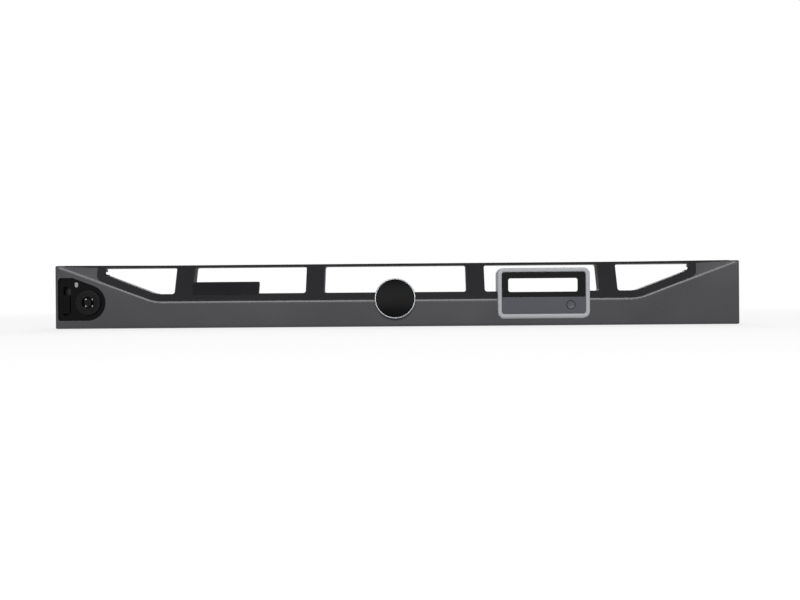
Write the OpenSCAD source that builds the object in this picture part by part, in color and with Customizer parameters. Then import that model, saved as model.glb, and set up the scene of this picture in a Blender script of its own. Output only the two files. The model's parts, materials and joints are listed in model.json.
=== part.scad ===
// Front bezel for a 1U rack server: a grey fascia with a rising crease, a black
// five-window frame, a round badge, a display module, a tubular lock with a sliding
// latch at the left end and hinge tongues at the right end.
// X runs along the bezel, Y from front to back, Z up. It stands on its bottom edge.

/* [Bezel] */
// Width over the two ends
bezel_w = 470; // [460:1:482]
// Height, one rack unit less its gap
bezel_h = 43.7; // [42.5:0.1:44.4]
// Depth from the front plane to the seating rim
body_d = 22; // [21:0.5:26]
// Wall of the fascia
wall = 2.2; // [1.8:0.1:2.6]
// Rounding of the front edges
edge_r = 2; // [1:0.1:2.6]
// Rounding of the corners as seen from the front
corner_r = 1.7; // [0.8:0.1:2.5]
// How far the hooks and tongues reach behind the rim
hook_reach = 8; // [6.5:0.5:12]

/* [Crease] */
// Height of the level part of the crease
crease_z = 17.8; // [16.8:0.1:18.8]
// Length along X of the part that rises to the top corner
crease_run = 68.8; // [64:0.2:72]
// Bend between the level and the rising part
crease_bend_r = 30; // [20:1:34]
// Lean of the surface above the crease
lean_deg = 21.8; // [19:0.1:23]
// Rounding over the crease
crease_round = 6; // [3:0.5:8]

/* [Window frame] */
// Edge of the black frame above the crease
frame_inset = 0.9; // [0.6:0.1:1.6]
// Grey end facet beside the frame
frame_end_gap = 29; // [27:0.5:32]
// Skin of the frame
frame_t = 2.8; // [2.6:0.1:3.2]
// Edge of the windows above the crease
window_inset = 5.8; // [5.2:0.1:6.6]
// Border at the outer end of the end windows
end_border = 6.3; // [5:0.1:8]
// Thickness of the top rail
top_rail = 1.7; // [1.5:0.1:2.2]
// Width of the four struts
strut_w = 12.6; // [10:0.2:14]
// Centre of the two inner struts
inner_strut_x = 55.4; // [54:0.2:57]
// Outer struts inside the bend of the crease
outer_strut_inset = 19.9; // [19:0.1:22]
// Depth of the window sides
return_d = 8; // [7.4:0.2:9]
// Thickness of the window sides
return_t = 1.6; // [1.2:0.1:1.9]
// Corner rounding of the windows
window_r = 1.6; // [1:0.1:2.4]
// Rounding of the frame's lower outer corners
frame_end_r = 6; // [3:0.5:8]
// Rounding of the end windows' lower outer corners
window_end_r = 4.5; // [2:0.5:6]

/* [Nameplate] */
// Width of the nameplate
nameplate_w = 46.4; // [40:0.2:52]
// Height of the nameplate along the lean
nameplate_h = 9.2; // [8:0.1:11]
// Thickness of the nameplate
nameplate_t = 1.8; // [1.4:0.1:2.2]

/* [Badge] */
// Outer radius of the badge ring
badge_r = 14.3; // [13.4:0.1:15]
// Face width of the ring
badge_rim = 1.1; // [0.8:0.1:1.5]
// Height of the badge centre
badge_z = 19.4; // [18.8:0.1:20]
// How far the badge's lower edge stands in front of the band
badge_proud = 3.6; // [3:0.1:4.4]
// Lean of the badge, between the band and the surface above it
badge_tilt = 10.9; // [8:0.1:13]

/* [Display module] */
// Centre of the module from the middle of its two struts
module_dx = 0.75; // [0:0.05:1]
// Lower edge of the module above the bezel's
module_foot = 5.2; // [4.8:0.1:5.6]
// Upper edge of the module below the bezel's
module_head = 4.2; // [3.8:0.1:4.6]
// Width of the surround
module_w = 62.8; // [61:0.2:64]
// Face width of the surround
module_rim = 2.9; // [2.4:0.1:3.2]
// How far the surround stands in front of the band
module_proud = 1.2; // [0.8:0.1:1.6]
// Depth of the surround behind the front plane
module_d = 13; // [12:0.2:14]
// Height of the joint between the black and the grey panel
split_z = 19.6; // [19:0.1:20.2]
// Width of the display window
display_w = 47.3; // [42:0.1:49]
// Display window above the joint of the panels
display_foot = 3.5; // [3:0.1:4]
// Display window below the surround's inner edge
display_head = 4.3; // [3.6:0.1:5]
// Radius of the button cap
button_r = 2.7; // [2.2:0.1:3]
// Button centre from the surround's inner right edge
button_inset = 10.1; // [9.8:0.1:12]
// Button centre height
button_z = 13.9; // [13.2:0.1:14.4]
// Travel of the button
button_travel = 0.6; // [0.4:0.05:0.7]

/* [Lock] */
// Lock axis from the left end
lock_inset = 23; // [22.6:0.1:24]
// Height of the lock axis
lock_z = 18; // [17.4:0.1:18.6]
// Radius of the lock's face ring
lock_face_r = 8.7; // [8:0.1:9.4]
// Radius of the threaded lock body
lock_body_r = 6.8; // [6.5:0.1:7]
// Radius of the key channel's outer wall
key_r = 4.3; // [4.1:0.1:4.6]
// Radius of the centre post
post_r = 2.3; // [2:0.05:2.4]
// Number of lock pins
pin_count = 4; // [4:1:7]
// Radius of a lock pin
pin_r = 0.6; // [0.5:0.05:0.7]
// Travel of the lock pins
pin_travel = 1.2; // [0.8:0.1:1.4]
// Reach of the cam from the lock axis
cam_reach = 15; // [12:0.2:16]

/* [Latch] */
// Depth of the lock panel's face behind the front plane
panel_recess = 1.2; // [0.8:0.1:1.4]
// Radius of the lock panel's round end
panel_r = 12.4; // [12:0.1:12.8]
// Width of the latch slot
slot_w = 5.1; // [4.6:0.1:5.4]
// Bottom of the latch slot
slot_z = 9.2; // [8.8:0.1:9.6]
// Height of the finger tab
tab_h = 12.7; // [11.5:0.1:13]
// Travel of the latch
latch_travel = 5; // [4:0.1:5.2]
// Thickness of the latch and hinge steel
steel_t = 1.2; // [1:0.1:1.4]
// Turns of the latch spring
spring_turns = 7; // [5:1:9]
// Wire of the latch spring
spring_wire = 0.5; // [0.4:0.05:0.6]

/* [Screws] */
// Radius of the screw shanks
screw_r = 1.1; // [0.9:0.05:1.2]
// Radius of the screw heads
head_r = 2.3; // [2:0.05:2.4]
// Radius of the screw bosses
boss_r = 2.8; // [2.6:0.1:3]
// Length of the screws under their heads
screw_len = 5.6; // [5:0.1:6]
// Depth of the boss seats behind the front plane
boss_y = 8; // [7.6:0.1:8.4]
// Thickness of the ears under the screws
ear_t = 1.5; // [1.3:0.1:1.6]

/* [Clearances] */
// Gap round parts that drop into an opening
fit = 0.15; // [0.1:0.01:0.25]
// Gap round parts that turn or slide on each other
running = 0.06; // [0.04:0.01:0.09]
// Gap between sliding plates and what guides them
slide_gap = 0.4; // [0.3:0.05:0.5]

/* [Hidden] */
$fn = 64;

half_w = bezel_w / 2;
y_shift = (badge_proud - body_d - hook_reach) / 2;   // puts the origin under the middle
rear_y = body_d + hook_reach;
lean = tan(lean_deg);
wall_y = wall / cos(lean_deg);                       // leaning wall measured along Y
crease_x = half_w - crease_run;                      // where the two straight creases cross
crease_deg = atan((bezel_h - crease_z) / crease_run);
frame_x = half_w - frame_end_gap;
outer_strut_x = crease_x - outer_strut_inset;
window_x = frame_x - end_border;
window_z = crease_z + window_inset;
window_top = bezel_h - top_rail;
flange_lap = 2.4;                                    // frame flange behind the fascia wall
flange_t = 1.6;
flange_drop = flange_lap - frame_inset + 2 * fit;     // its reach past the crease, with room
loft_in = bezel_h - crease_z + 12.1;                 // cutters taper inwards by this much
top_reach = 20;                                      // cutters run this far above the bezel
far = 2 * bezel_w;
eps = 0.01;

ear_x = [-outer_strut_x - 12, -inner_strut_x - 34, -30, 30, outer_strut_x + 12];
boss_z = 13.5;
boss_drop = 3.4;                                     // ear below its hole
rib_x = [-crease_x - 10, -outer_strut_x + 14, -(inner_strut_x + outer_strut_x) / 2 - 8, -inner_strut_x - 17,
    -inner_strut_x + 8, inner_strut_x - 8, outer_strut_x + 2, crease_x + 6];
rib_t = 1.2;
rib_d = 6.5;

head_t = 1.5;
pilot_r = screw_r + running;
dimple_r = 1.3;                                      // shallow round mark in the left corner

lock_x = -half_w + lock_inset;
panel_back = wall + fit + 1.6;
lock_front = -0.3;
lock_back = rear_y - 5.3;
rotor_r = 5.4;
rotor_front = 3.2;
spindle_r = 2.6;
cam_t = 1.6;
cam_y = lock_back + 0.3;
nut_r = 9;
nut_t = 3;
pin_ring = (key_r + post_r) / 2;
pin_len = 4;
pin_out = 0.8;

plate_x = -half_w + wall + 0.9;                      // outer face of the latch plate
plate_w = 9.6;
plate_y = panel_back + 1.3;
guide_y = plate_y + steel_t + slide_gap;
guide_t = 1.6;
slot_x = -half_w + 5.6;                              // left edge of the latch slot
tab_w = slot_w - 2 * slide_gap;
tab_z = slot_z + 1.4;
slot_h = tab_h + latch_travel + 2.2;
hook_z = [9, bezel_h - 17.7];
plate_top = bezel_h - 10.2;
hook_h = 6;
lip_h = 3.5;
spring_x = plate_x + plate_w / 2 + 0.3;
spring_r = 1.9;
spring_y = guide_y + guide_t + spring_r + spring_wire / 2 + 0.35;
spring_z0 = 16.2;
spring_z1 = bezel_h - 11.9;
guide_screw_x = lock_x - 7;
guide_screw_z = [lock_z - 11.6, bezel_h - 12.1];

tongue_z = [7, bezel_h - 15.7];
tongue_h = 6;
hinge_x = half_w - wall - 0.5;                       // outer face of the hinge plate
hinge_screw_x = hinge_x - 10.3;
hinge_screw_z = [10, bezel_h - 12.7];
hinge_z0 = 5;
hinge_z1 = bezel_h - 7.7;

module_x = (inner_strut_x + outer_strut_x) / 2 + module_dx;
module_bottom = module_foot;
module_h = bezel_h - module_foot - module_head;
ledge_y = 0.9;                                       // front of the ledge under the panels
ledge_t = 1.5;
ledge_w = 1.6;
panel_face = -module_proud + 0.5;                    // face of the two module panels
module_ear_x = module_w / 2 + 3.6;
module_ear_z = 11.5;
button_x = module_x + module_w / 2 - module_rim - button_inset;
display_z0 = split_z + display_foot;
display_z1 = module_bottom + module_h - module_rim - display_head;
button_flange = 1.1;
switch_front = ledge_y + 0.9 + button_flange + button_travel;
board_y = switch_front + 2.8;
board_t = 1.6;
board_w = module_w - 2 * module_rim - 2;
board_z0 = module_bottom + module_rim + ledge_w + 0.3;
board_z1 = split_z - 1.6;
board_post_x = board_w / 2 - 3;
board_post_z = (board_z0 + board_z1) / 2;
board_post_r = pilot_r + 1;
stem_r = 1.5;

contact_x = half_w - 45;
contact_w = 20;
contact_z = 11;
contact_h = 11;
contact_y = 12;
contact_ear_x = contact_w / 2 + 3.6;
contact_count = 8;
ribbon_t = 0.6;
ribbon_w = 5;
ribbon_z = 6.2;

fascia_grey = "#4b4b4d";
frame_black = "#2b2b2e";
deep_black = "#161618";
silver = "#a9abae";
light_grey = "#b9babd";
steel = "#8d9094";
brass = "#c9a24a";
board_green = "#2f5a3c";

// ---- outlines and helpers ----

function unit(v) = v / norm(v);

// Arc that rounds corner b between its neighbours a and c
function corner_arc(a, b, c, r, n) =
    let (u = unit(a - b), v = unit(c - b), half = acos(u * v) / 2,
         centre = b + unit(u + v) * r / sin(half),
         p = b + u * r / tan(half) - centre, q = b + v * r / tan(half) - centre,
         from = atan2(p.y, p.x), turn = atan2(q.y, q.x) - from,
         sweep = turn > 180 ? turn - 360 : turn < -180 ? turn + 360 : turn)
    [for (i = [0:n]) centre + r * [cos(from + sweep * i / n), sin(from + sweep * i / n)]];

// Polygon whose corners are [x, z, radius]
function rounded(corners, n = 6) =
    let (m = len(corners), at = [for (c = corners) [c[0], c[1]]])
    [for (i = [0:m - 1])
        each (corners[i][2] > 0
            ? corner_arc(at[(i + m - 1) % m], at[i], at[(i + 1) % m], corners[i][2], n)
            : [at[i]])];

function mirrored(corners) = [for (i = [len(corners) - 1:-1:0]) [-corners[i][0], corners[i][1], corners[i][2]]];

// Height of the straight creases, moved in by d, at distance x from the middle
function crease_at(x, d = 0) =
    crease_z + max(d, (x - crease_x) * tan(crease_deg) + d / cos(crease_deg));

// Corner of the crease outline moved in by d
function bend_x(d) = crease_x - d * tan(crease_deg / 2);

// Crease outline moved in by d, open far above the bezel
function crease_outline(d) =
    let (top = bezel_h + top_reach, r = max(0.5, crease_bend_r * (1 - d / loft_in)),
         reach = crease_x + (top - crease_z - d / cos(crease_deg)) / tan(crease_deg),
         right = [[bend_x(d), crease_z + d, r], [reach, top, 0]])
    rounded(concat(right, mirrored(right)), 8);

// Outline inside the leaning surface, from d above the crease to z_top, up to end_x
function leaning_outline(d, end_x, z_top, end_r) =
    let (right = [[bend_x(d), crease_z + d, max(0.5, crease_bend_r - d)],
                  [end_x, crease_at(end_x, d), end_r], [end_x, z_top, 0]])
    rounded(concat(right, mirrored(right)), 6);

function box_outline(x0, x1, z0, z1, r) = rounded([[x0, z0, r], [x1, z0, r], [x1, z1, r], [x0, z1, r]]);

function end_window(grow) =
    let (d = window_inset - grow, x0 = outer_strut_x + strut_w / 2 - grow, x1 = window_x + grow,
         r = window_r + grow)
    [[x0, crease_z + d, r], [bend_x(d), crease_z + d, 18], [x1, crease_at(x1, d), window_end_r + grow],
     [x1, window_top + grow, r], [x0, window_top + grow, r]];

// The five window outlines, grown by the thickness of their sides
function window_outlines(grow = 0) =
    let (inner = inner_strut_x - strut_w / 2 + grow, z0 = window_z - grow, z1 = window_top + grow,
         r = window_r + grow, x0 = inner_strut_x + strut_w / 2 - grow,
         x1 = outer_strut_x - strut_w / 2 + grow)
    [box_outline(-inner, inner, z0, z1, r), box_outline(x0, x1, z0, z1, r),
     box_outline(-x1, -x0, z0, z1, r), rounded(end_window(grow)), rounded(mirrored(end_window(grow)))];

module in_place() { translate([0, y_shift, 0]) children(); }

// Extrudes an outline drawn in X and Z from y0 back to y1
module through(y0, y1) {
    translate([0, y1, 0]) rotate([90, 0, 0]) linear_extrude(y1 - y0) children();
}

module rod(r, y0, y1, x = 0, z = 0) {
    translate([x, y0, z]) rotate([-90, 0, 0]) cylinder(r = r, h = y1 - y0);
}

module block(x0, x1, y0, y1, z0, z1) {
    translate([x0, y0, z0]) cube([x1 - x0, y1 - y0, z1 - z0]);
}

// Local frame on the leaning surface: X along it, Z up the lean, Y into it
module on_lean() { translate([0, 0, crease_z]) rotate([-lean_deg, 0, 0]) children(); }

// Space between two crease outlines: d0 at y0 and d1 at y1
module crease_loft(d0, y0, d1, y1) {
    hull() {
        through(y0 - eps, y0) polygon(crease_outline(d0));
        through(y1 - eps, y1) polygon(crease_outline(d1));
    }
}

// Space in front of a surface that lies b behind the bezel's face along Y
module before_skin(b) {
    translate([0, b, 0]) crease_loft(-6, -6 * lean, loft_in, loft_in * lean);
    if (b > 0) block(-far, far, -5, b * cos(lean_deg), -far, far);
}

// What the crease takes off the block: three narrow facets round its edge, then the lean
module leaning_cut() {
    steps = 3;
    start = crease_round * tan(lean_deg / 2);
    d = [for (i = [0:steps]) crease_round * sin(lean_deg * i / steps) - start];
    y = [for (i = [0:steps]) crease_round * (1 - cos(lean_deg * i / steps))];
    for (i = [0:steps - 1]) crease_loft(d[i], y[i], d[i + 1], y[i + 1]);
    crease_loft(d[steps], y[steps], loft_in, loft_in * lean);
}

// Block with rounded front edges, moved in by t on the closed sides
module rounded_block(t, top) {
    r = max(0.5, edge_r - t);
    x = half_w - t;
    intersection() {
        through(t, body_d) polygon(box_outline(-x, x, t, top, corner_r));
        translate([0, 0, -1]) linear_extrude(bezel_h + 2)
            polygon(rounded([[-x, t, r], [x, t, r], [x, body_d + 1, 0], [-x, body_d + 1, 0]]));
        rotate([90, 0, 90]) translate([0, 0, -half_w]) linear_extrude(bezel_w)
            polygon(rounded([[t, t, r], [body_d + 1, t, 0], [body_d + 1, top, 0], [t, top, r]]));
    }
}

// Boss with a blind pilot hole from behind
module boss(x, z, y1, y0 = wall - 0.2, r = boss_r) {
    difference() {
        rod(r, y0, y1, x, z);
        rod(pilot_r, y0 + 0.6, y1 + 1, x, z);
    }
}

// Pan-head screw that comes in from behind: its head sits on y
module screw(x, y, z, shank) {
    difference() {
        union() {
            rod(head_r, y, y + head_t, x, z);
            rod(screw_r, y - shank, y + eps, x, z);
        }
        for (a = [0, 90]) translate([x, y + head_t, z]) rotate([0, a + 45, 0])
            cube([head_r * 1.1, head_t, 0.5], center = true);
    }
}

module ear_holes(places, y0, y1) {
    for (p = places) rod(screw_r + fit, y0, y1, p.x, p.y);
}

// ---- fascia and window frame ----

// Wedge-ended plate that closes the top: full rail thickness, thinning to the corners
function top_plate(gap) =
    [[-frame_x - 22 - gap, bezel_h + 1], [-frame_x - 22 - gap, bezel_h - 0.5 - gap],
     [-frame_x - 1 - gap, bezel_h - top_rail + 0.2 - gap], [-frame_x, window_top - gap],
     [frame_x, window_top - gap], [frame_x + 1 + gap, bezel_h - top_rail + 0.2 - gap],
     [frame_x + 22 + gap, bezel_h - 0.5 - gap], [frame_x + 22 + gap, bezel_h + 1]];

function panel_ears() = [for (a = [-38, 22]) [lock_x, lock_z] + (panel_r + 5.2) * [cos(a), sin(a)]];

module fascia_shell() {
    difference() {
        rounded_block(0, bezel_h);
        leaning_cut();
        difference() {
            translate([0, eps, 0]) rounded_block(wall, window_top - wall);
            before_skin(wall_y);
        }
        through(body_d - 1, body_d + 1)
            polygon(box_outline(wall - half_w, half_w - wall, wall, window_top - wall, 0.6));
    }
}

module fascia() {
    color(fascia_grey) in_place() difference() {
        union() {
            fascia_shell();
            for (x = rib_x) block(x - rib_t / 2, x + rib_t / 2, wall - 0.2, rib_d, wall - 0.2, crease_z - flange_drop);
            for (x = ear_x) boss(x, boss_z, boss_y);
            for (s = [-1, 1]) boss(s * badge_ear_x, badge_ear_z, boss_y);
            for (s = [-1, 1]) boss(module_x + s * module_ear_x, module_ear_z, boss_y);
            for (z = hinge_screw_z) boss(hinge_screw_x, z, boss_y);
            for (s = [-1, 1]) boss(contact_x + s * contact_ear_x, contact_z, contact_y);
        }
        through(-1, body_d + 1) polygon(leaning_outline(frame_inset - fit, frame_x + fit, bezel_h + 1, frame_end_r + fit));
        through(-1, body_d + 1) polygon(top_plate(fit));
        badge_hole();
        through(-1, body_d + 1) polygon(module_outline(fit));
        through(-1, wall + 1) polygon(panel_outline(0));
        for (p = panel_ears()) rod(pilot_r, 0.5, wall + 1, p.x, p.y);
        rod(dimple_r, -1, 0.25, dimple_r + 1.9 - half_w, bezel_h - dimple_r - 2.4);
    }
}

module window_frame() {
    color(frame_black) in_place() difference() {
        union() {
            intersection() {
                through(-1, body_d) polygon(leaning_outline(frame_inset, frame_x, bezel_h, frame_end_r));
                before_skin(frame_t / cos(lean_deg));
            }
            difference() {
                intersection() {
                    through(0, body_d) difference() {
                        polygon(leaning_outline(frame_inset - flange_lap, frame_x + flange_lap,
                            window_top - wall - 0.4, frame_end_r + flange_lap));
                        polygon(leaning_outline(frame_inset + 1.5, frame_x - 1.5, bezel_h, frame_end_r - 1.5));
                    }
                    before_skin(wall_y + fit + flange_t);
                }
                before_skin(wall_y + fit);
            }
            intersection() {
                through(0, body_d) for (w = window_outlines(return_t)) polygon(w);
                before_skin(return_d);
                block(-far, far, -1, body_d, 0, bezel_h - eps);
            }
            intersection() {
                through(0, body_d) polygon(top_plate(0));
                block(-half_w, half_w, -1, body_d, 0, bezel_h);
            }
            for (x = ear_x) block(x - 4, x + 4, boss_y, boss_y + ear_t, boss_z - boss_drop, window_z - 0.3);
        }
        before_skin(0);
        for (w = window_outlines()) through(-1, body_d + 1) polygon(w);
        badge_hole();
        through(-1, body_d + 1) polygon(module_outline(fit));
        ear_holes([for (x = ear_x) [x, boss_z]], boss_y - 1, boss_y + ear_t + 1);
        nameplate_body(fit, 3, nameplate_t + fit);
    }
    color(frame_black) in_place() nameplate_pad();
}

module frame_screws() {
    color(steel) in_place() for (x = ear_x) screw(x, boss_y + ear_t, boss_z, screw_len);
}

// ---- nameplate ----

nameplate_lap = 0.5;                                 // let into the strut and the border by this much
nameplate_x = -outer_strut_x + strut_w / 2 - nameplate_lap;
nameplate_s = (window_inset - nameplate_lap) / cos(lean_deg);
pad_t = 1.4;

// Plate of the nameplate's outline, grown all round, from `front` before the lean back to `back`
module nameplate_body(grow, front, back) {
    on_lean() translate([0, back, 0]) rotate([90, 0, 0]) linear_extrude(back + front)
        polygon(box_outline(nameplate_x - grow, nameplate_x + nameplate_w + grow,
            nameplate_s - grow, nameplate_s + nameplate_h + grow, 0.5 + grow));
}

// Backing plate of the frame behind the nameplate, with two peg holes
module nameplate_pad() {
    difference() {
        on_lean() block(nameplate_x - 0.6, nameplate_x + nameplate_w - 0.8, nameplate_t + fit,
            nameplate_t + fit + pad_t, nameplate_s - 0.6, nameplate_s + nameplate_h - 0.8);
        nameplate_pegs(0.9 + fit, 8);
    }
}

module nameplate_pegs(r, reach) {
    for (x = [0.2, 0.8]) on_lean() translate([nameplate_x + x * nameplate_w, nameplate_t - eps,
        nameplate_s + nameplate_h / 2]) rotate([-90, 0, 0]) cylinder(r = r, h = reach, $fn = 32);
}

module nameplate() {
    color(deep_black) in_place() {
        nameplate_body(0, 0.3, nameplate_t);
        nameplate_pegs(0.9, pad_t + fit + 0.6);
    }
}

// ---- badge ----

badge_ear_x = badge_r + 4.8;
badge_ear_z = badge_z - 9;
badge_seat = 1.4;                                    // front of the carrier behind the badge's face
carrier_r = badge_r - 0.6;

// Local frame on the badge: Y into it along its axis, zero at its face
module on_badge() {
    translate([0, badge_r * sin(badge_tilt) - badge_proud, badge_z]) rotate([-badge_tilt, 0, 0]) children();
}

// Hole for the carrier through the band and the frame
module badge_hole() { on_badge() rod(carrier_r + fit, -badge_proud, boss_y + badge_proud + 1.5); }

module badge_carrier() {
    color(frame_black) in_place() difference() {
        union() {
            intersection() {
                on_badge() rod(carrier_r, badge_seat, body_d);
                block(-half_w, half_w, -badge_proud, boss_y + ear_t, 0, bezel_h);
            }
            for (s = [-1, 1]) block(min(0, s * badge_ear_x) - (s < 0 ? boss_r : 0),
                max(0, s * badge_ear_x) + (s > 0 ? boss_r : 0), boss_y, boss_y + ear_t,
                badge_ear_z - boss_r, badge_ear_z + boss_r);
        }
        on_badge() rod(carrier_r - 1.6, badge_seat + 2, body_d);
        ear_holes([for (s = [-1, 1]) [s * badge_ear_x, badge_ear_z]], boss_y - 1, boss_y + ear_t + 1);
        on_badge() for (s = [-1, 1]) rod(0.9 + fit, badge_seat - 1, badge_seat + 3, s * 7);
    }
}

// Ring with a rounded lip; its side runs back to the band below and to the lean above
module badge_ring() {
    color(silver) in_place() difference() {
        on_badge() rotate([-90, 0, 0]) rotate_extrude()
            polygon(rounded([[badge_r - badge_rim, 0.9, 0], [badge_r - badge_rim, 0.1, 0.2],
                [badge_r - 0.3, 0, 0.6], [badge_r + 0.3, badge_proud + 2, 0], [carrier_r + fit, badge_proud + 2, 0],
                [carrier_r + fit, badge_seat, 0], [badge_r - badge_rim, badge_seat, 0]], 4));
        intersection() {
            block(-half_w, half_w, -0.02, body_d, -1, bezel_h);
            on_lean() block(-half_w, half_w, -0.02, body_d, -bezel_h, bezel_h);
        }
    }
}

// Shallow dome on two pegs
module badge_disc() {
    disc_r = badge_r - badge_rim - 0.08;
    rise = 0.6;
    dome_r = (disc_r * disc_r + rise * rise) / (2 * rise);
    color(deep_black) in_place() on_badge() {
        intersection() {
            rod(disc_r, 0, badge_seat);
            translate([0, dome_r, 0]) rotate([-90, 0, 0]) sphere(r = dome_r, $fn = 360);
        }
        for (s = [-1, 1]) rod(0.9, badge_seat - eps, badge_seat + 1.8, s * 7);
    }
}

module badge_screws() {
    color(steel) in_place() for (s = [-1, 1])
        screw(s * badge_ear_x, boss_y + ear_t, badge_ear_z, screw_len);
}

// ---- display module ----

function module_outline(grow) =
    box_outline(module_x - module_w / 2 - grow, module_x + module_w / 2 + grow,
        module_bottom - grow, module_bottom + module_h + grow, 4.2 + grow);

function module_inside(inset, r = 1.7) =
    box_outline(module_x - module_w / 2 + module_rim + inset, module_x + module_w / 2 - module_rim - inset,
        module_bottom + module_rim + inset, module_bottom + module_h - module_rim - inset, r);

module module_surround() {
    color(light_grey) in_place() difference() {
        union() {
            intersection() {
                through(-module_proud, module_d) polygon(module_outline(0));
                block(module_x - module_w / 2, module_x + module_w / 2, -module_proud, module_d, 0, bezel_h);
            }
            for (s = [-1, 1]) block(module_x + min(0, s * (module_ear_x + boss_r)),
                module_x + max(0, s * (module_ear_x + boss_r)), boss_y, boss_y + ear_t,
                module_ear_z - boss_r, module_ear_z + boss_r);
        }
        through(-module_proud - 1, ledge_y) polygon(module_inside(0));
        difference() {
            through(ledge_y - eps, module_d + 1) polygon(module_inside(ledge_w, 1));
            block(module_x - module_w, module_x + module_w, ledge_y - 1, ledge_y + ledge_t,
                split_z - 1.2, split_z + 1.2);
        }
        through(ledge_y + ledge_t, module_d + 1) polygon(module_inside(0.2));
        ear_holes([for (s = [-1, 1]) [module_x + s * module_ear_x, module_ear_z]],
            boss_y - 1, boss_y + ear_t + 1);
    }
    color(light_grey) in_place() for (s = [-1, 1]) {
        post = module_x + s * board_post_x;
        side = module_x + s * (module_w / 2 - module_rim + 0.5);
        difference() {
            block(min(post, side), max(post, side), ledge_y, board_y - 0.3, board_post_z - 1, board_post_z + 1);
            rod(pilot_r, 0, board_y, post, board_post_z);
        }
        boss(module_x + s * board_post_x, board_post_z, board_y, ledge_y + ledge_t - 0.6, board_post_r);
    }
}

module display_panel() {
    color(deep_black) in_place() through(panel_face, ledge_y - 0.02) difference() {
        intersection() {
            polygon(module_inside(fit));
            translate([module_x - module_w, split_z + fit / 2]) square([2 * module_w, bezel_h]);
        }
        polygon(box_outline(module_x - 0.5 - display_w / 2, module_x - 0.5 + display_w / 2,
            display_z0, display_z1, 1.4));
    }
}

module control_panel() {
    color(fascia_grey) in_place() difference() {
        through(panel_face, ledge_y - 0.02) intersection() {
            polygon(module_inside(fit));
            translate([module_x - module_w, -bezel_h + split_z - fit / 2]) square([2 * module_w, bezel_h]);
        }
        rod(button_r + 0.35, panel_face - 1, ledge_y + 1, button_x, button_z);
        difference() {
            rod(button_r + 0.8, panel_face - 1, panel_face + 0.25, button_x, button_z);
        }
    }
}

module module_button() {
    color("#505052") in_place() {
        rod(button_r, panel_face - 0.25, ledge_y + 0.3, button_x, button_z);
        rod(button_r + 0.8, ledge_y + 0.2, ledge_y + 0.2 + button_flange, button_x, button_z);
    }
}

module module_board() {
    color(board_green) in_place() difference() {
        block(module_x - board_w / 2, module_x + board_w / 2, board_y, board_y + board_t, board_z0, board_z1);
        ear_holes([for (s = [-1, 1]) [module_x + s * board_post_x, board_post_z]], board_y - 1, board_y + 3);
    }
}

module module_switch() {
    color(deep_black) in_place() difference() {
        block(button_x - 3, button_x + 3, switch_front, board_y, button_z - 3, button_z + 3);
        rod(stem_r + fit, switch_front - 1, board_y - 0.6, button_x, button_z);
    }
}

module switch_stem() {
    color(light_grey) in_place()
        rod(stem_r, ledge_y + 0.2 + button_flange, switch_front + 1, button_x, button_z);
}

connector_x = module_x + board_w / 2 - 12;
connector_y = board_y + board_t;

module board_connector() {
    color("#d9d3c4") in_place() difference() {
        block(connector_x - 4, connector_x + 4, connector_y, connector_y + 3, ribbon_z + 3, ribbon_z + 3 + ribbon_w + 2);
        block(connector_x - ribbon_t / 2 - fit, connector_x + ribbon_t / 2 + fit, connector_y + 1.6,
            connector_y + 4, ribbon_z + 4 - fit, ribbon_z + 4 + ribbon_w + fit);
    }
}

module board_screws() {
    color(steel) in_place() for (s = [-1, 1])
        screw(module_x + s * board_post_x, board_y + board_t, board_post_z, 3.6);
}

// Thin cover over the board, let into the back of the surround
module module_cover() {
    y0 = module_d - 1.4;
    color(frame_black) in_place() difference() {
        through(y0, module_d) intersection() {
            polygon(module_inside(0.35));
            translate([module_x - module_w, -bezel_h + split_z + 1]) square([2 * module_w, bezel_h]);
        }
        block(connector_x - 1.5, connector_x + 2.5, y0 - 1, module_d + 1, ribbon_z + 3, ribbon_z + 5 + ribbon_w);
    }
}

module module_screws() {
    color(steel) in_place() for (s = [-1, 1])
        screw(module_x + s * module_ear_x, boss_y + ear_t, module_ear_z, screw_len);
}

// ---- lock panel and lock ----

// Flat top, edge that runs with the crease, round end about the lock
function panel_outline(inset) =
    let (r = panel_r - inset, x0 = -half_w + wall + inset, z0 = lock_z - r, z1 = bezel_h - 8.5 - inset,
         tangent = [lock_x, lock_z] + r * [sin(crease_deg), cos(crease_deg)],
         x1 = tangent.x - (z1 - tangent.y) / tan(crease_deg))
    concat([for (i = [0:16]) let (a = -90 + (180 - crease_deg) * i / 16) [lock_x, lock_z] + r * [cos(a), sin(a)]],
        corner_arc(tangent, [x1, z1], [x0, z1], 2, 5), corner_arc([x1, z1], [x0, z1], [x0, z0], 2.4, 5),
        corner_arc([x0, z1], [x0, z0], [lock_x, z0], 2, 5));

// Flange behind the fascia wall: stays below the crease and inside the end wall
function panel_flange() =
    let (x0 = -half_w + wall + 0.3, x1 = lock_x + panel_r + 8.2, z0 = wall + 0.9, z1 = bezel_h - 6.3,
         drop = flange_drop / cos(crease_deg))
    rounded([[x0, z0, 1], [x1, z0, 3], [x1, crease_at(-x1) - drop, 3],
        [-crease_x - (z1 + drop - crease_z) / tan(crease_deg), z1, 2], [x0, z1, 1]]);

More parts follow.
